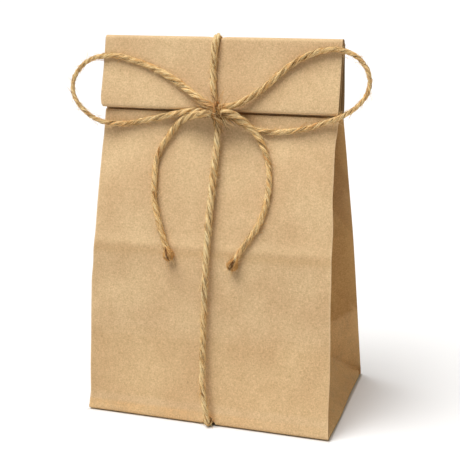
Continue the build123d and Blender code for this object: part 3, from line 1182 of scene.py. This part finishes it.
bowLoop = {  # what the two loops share, and the two tails
    "start": knotAt, "end": "knot", "lay": "loose", "flare": 0.0,
    "pitch": 20, "tight": 1.2, "hairs": 560, "fibres": 1000,
}
bowTail = {
    "start": knotAt, "end": "bare", "lay": "hanging", "flare": 1.0,
    "pitch": 18, "tight": 0.4, "hairs": 460, "fibres": 520,
}
bowForm = {  # each stretch of the twine: route and ends, lay and hairs, thickness along the way
    "twineBand": {
        "route": bandRoute, "node": "twine_band", "start": Vector((0, 0, 0)), "end": "knot", "lay": "taut",
        "pitch": 20, "tight": 0.0, "hairs": 1700, "fibres": 2400, "flare": 0.0,
        "sizes": ((0, 0.55), (0.02, 0.95), (0.05, 1.0), (0.078, 1.12), (0.11, 1.0), (0.16, 0.94),
                  (0.7, 0.9), (0.84, 0.96), (0.89, 1.14), (0.94, 1.12), (0.97, 1.02), (0.985, 0.9),
                  (1, 0.5))},
    "bowLoopLeft": {
        **bowLoop, "route": leftLoopRoute, "node": "bow_loop_left",
        "sizes": ((0, 0.95), (0.02, 1.16), (0.12, 1.1), (0.3, 0.9), (0.45, 0.68), (0.6, 0.68), (0.72, 0.84),
                  (0.97, 1.0), (1, 0.8))},
    "bowLoopRight": {
        **bowLoop, "route": rightLoopRoute, "node": "bow_loop_right",
        "sizes": ((0, 0.85), (0.03, 1.02), (0.3, 0.92), (0.45, 0.68), (0.6, 0.68), (0.75, 0.82),
                  (0.97, 0.95), (1, 0.75))},
    "bowTailLeft": {
        **bowTail, "route": leftTailRoute, "node": "bow_tail_left",
        "sizes": ((0, 0.95), (0.05, 1.16), (0.2, 1.0), (0.4, 0.88), (0.8, 0.88), (1, 0.94))},
    "bowTailRight": {
        **bowTail, "route": rightTailRoute, "node": "bow_tail_right",
        "sizes": ((0, 0.95), (0.05, 1.16), (0.2, 1.0), (0.4, 0.88), (0.8, 0.9), (1, 0.94))},
}
for number, (name, form) in enumerate(bowForm.items()):
    pitch, sizes, flare, tight = form["pitch"] * mm, form["sizes"], form["flare"], form["tight"]
    line = readLine(name + "Line", form["route"], form["start"])
    strands, path, length = twistedStrands(line, pitch, sizes, flare, tight)
    piece = tubeMesh(name, strands)
    finishTwine(piece, bandMaterial if name == "twineBand" else twineMaterial, form["node"])
    loose = strayHairs(line, form["hairs"], 11 + number, hairForm["longest"], hairForm["bush"] * flare)
    laid = layFibres(line, pitch, sizes, form["fibres"], 31 + number, tight)
    frayed = frayedEnd(line, round(hairForm["frays"] * flare), 51 + number)
    fuzz = hairMesh(name + "Fuzz", loose + laid + frayed)
    finishTwine(fuzz, fuzzMaterial)
    print(name, "laid:", round(length / mm, 1), "mm,", len(piece.data.polygons), "faces")


# stage, light and camera

stageLook = {
    "floorSize": 14.0,
    "floorAlbedo": 0.74,
    "floorLift": 0.18,
    "liftTint": (1.0, 1.03, 1.08, 1.0),
    "ambient": 0.06,
    "ambientWarm": (1.0, 0.86, 0.7, 1.0),
    "contactAside": (0.5, 1.4),  # where the painted contact shadow round the foot ends, millimetres out from the bag
    "contactFront": (0.8, 1.8),
    "contactBack": (0.0, 1.0),
}
studioLamps = {
    "key": {"strength": 3.78, "angle": 42, "azimuth": -46, "height": 68, "tint": (1.0, 1.0, 1.0)},
    "fill": {"strength": 0.42, "angle": 60, "azimuth": 85, "height": 35, "tint": (1.0, 0.79, 0.48)},
}


def seenRays(tree):
    path = addNode(tree, "ShaderNodeLightPath")
    seen = mathNode(tree, "MAXIMUM", path.outputs["Is Camera Ray"], path.outputs["Is Glossy Ray"])
    return mathNode(tree, "MAXIMUM", seen, path.outputs["Is Transmission Ray"])


def outsidePaintedContactShadow(tree):
    # 0 under the bag and in a thin band round its foot, where the floor has no glow: a painted contact
    # shadow; 1 beside it
    place = addNode(tree, "ShaderNodeSeparateXYZ", {
        "Vector": addNode(tree, "ShaderNodeTexCoord").outputs["Object"]})
    halfWidth, halfDepth = bagForm["width"] / 2, bagForm["depth"] / 2
    skew = bagCreep["skew"] / 2
    front = halfDepth + skew * halfWidth
    skewed = mathNode(tree, "MULTIPLY", place.outputs["X"], -skew)
    skewed = mathNode(tree, "SUBTRACT", skewed, place.outputs["Y"])
    spread = bagCreep["frontRight"][0][1] * mm / 2  # the sides stand further apart at the front
    slant = mathNode(tree, "MULTIPLY", place.outputs["Y"], spread / halfDepth)
    across = mathNode(tree, "ADD", mathNode(tree, "ABSOLUTE", place.outputs["X"]), slant)

    def outside(value, edge, span):
        return rampNode(tree, value, edge + span[0] * mm, edge + span[1] * mm)

    aside = outside(across, halfWidth + spread, stageLook["contactAside"])
    before = outside(skewed, front, stageLook["contactFront"])
    behind = outside(place.outputs["Y"], halfDepth, stageLook["contactBack"])
    return mathNode(tree, "MAXIMUM", mathNode(tree, "MAXIMUM", aside, before), behind)


def whiteFloor():
    deselectAll()
    bpy.ops.mesh.primitive_plane_add(size=stageLook["floorSize"])
    floor = bpy.context.object
    floor.name = "floor"
    material = bpy.data.materials.new("whiteFloor")
    material.use_nodes = True
    tree = material.node_tree
    tree.nodes.remove(tree.nodes["Principled BSDF"])
    lift = mathNode(tree, "MULTIPLY", seenRays(tree), stageLook["floorLift"])
    # no glow near the foot: a painted contact shadow
    lift = mathNode(tree, "MULTIPLY", lift, outsidePaintedContactShadow(tree))
    matte = addNode(tree, "ShaderNodeBsdfDiffuse", {"Color": (stageLook["floorAlbedo"],) * 3 + (1.0,)})
    glow = addNode(tree, "ShaderNodeEmission", {"Color": stageLook["liftTint"], "Strength": lift})
    both = addNode(tree, "ShaderNodeAddShader", {0: matte.outputs["BSDF"], 1: glow.outputs["Emission"]})
    tree.links.new(both.outputs["Shader"], tree.nodes["Material Output"].inputs["Surface"])
    floor.data.materials.append(material)


def whiteWorld():
    world = bpy.data.worlds.new("studio")
    bpy.context.scene.world = world
    world.use_nodes = True
    tree = world.node_tree
    fill = tree.nodes["Background"]
    fill.inputs["Color"].default_value = stageLook["ambientWarm"]
    fill.inputs["Strength"].default_value = stageLook["ambient"]
    white = addNode(tree, "ShaderNodeBackground", {"Color": (1, 1, 1, 1)})
    either = addNode(tree, "ShaderNodeMixShader", {
        "Fac": seenRays(tree), 1: fill.outputs["Background"], 2: white.outputs["Background"]})
    tree.links.new(either.outputs["Shader"], tree.nodes["World Output"].inputs["Surface"])


def sunLamp(name, look):
    lamp = bpy.data.lights.new(name, "SUN")
    lamp.energy = look["strength"]
    lamp.angle = math.radians(look["angle"])
    lamp.color = look["tint"]
    holder = bpy.data.objects.new(name, lamp)
    bpy.context.scene.collection.objects.link(holder)
    holder.rotation_euler = (math.radians(90 - look["height"]), 0, math.radians(look["azimuth"]))


cameraView = {
    "lens": 81.39,
    "sensor": 36.0,
    "location": (0.18066, -0.51698, 0.24669),
    "yaw": 19.034,
    "pitch": 15.445,
    "roll": -1.482,
}


def photoCamera():
    data = bpy.data.cameras.new("camera")
    data.lens = cameraView["lens"]
    data.sensor_width = cameraView["sensor"]
    camera = bpy.data.objects.new("camera", data)
    bpy.context.scene.collection.objects.link(camera)
    turn = Matrix.Rotation(math.radians(cameraView["yaw"]), 4, "Z")
    tilt = Matrix.Rotation(math.radians(90 - cameraView["pitch"]), 4, "X")
    roll = Matrix.Rotation(math.radians(cameraView["roll"]), 4, "Z")
    camera.matrix_world = Matrix.Translation(cameraView["location"]) @ turn @ tilt @ roll
    bpy.context.scene.camera = camera


whiteFloor()
whiteWorld()
for name, look in studioLamps.items():
    sunLamp(name, look)
photoCamera()
bpy.context.scene.view_settings.view_transform = "Standard"
print("stage ready")
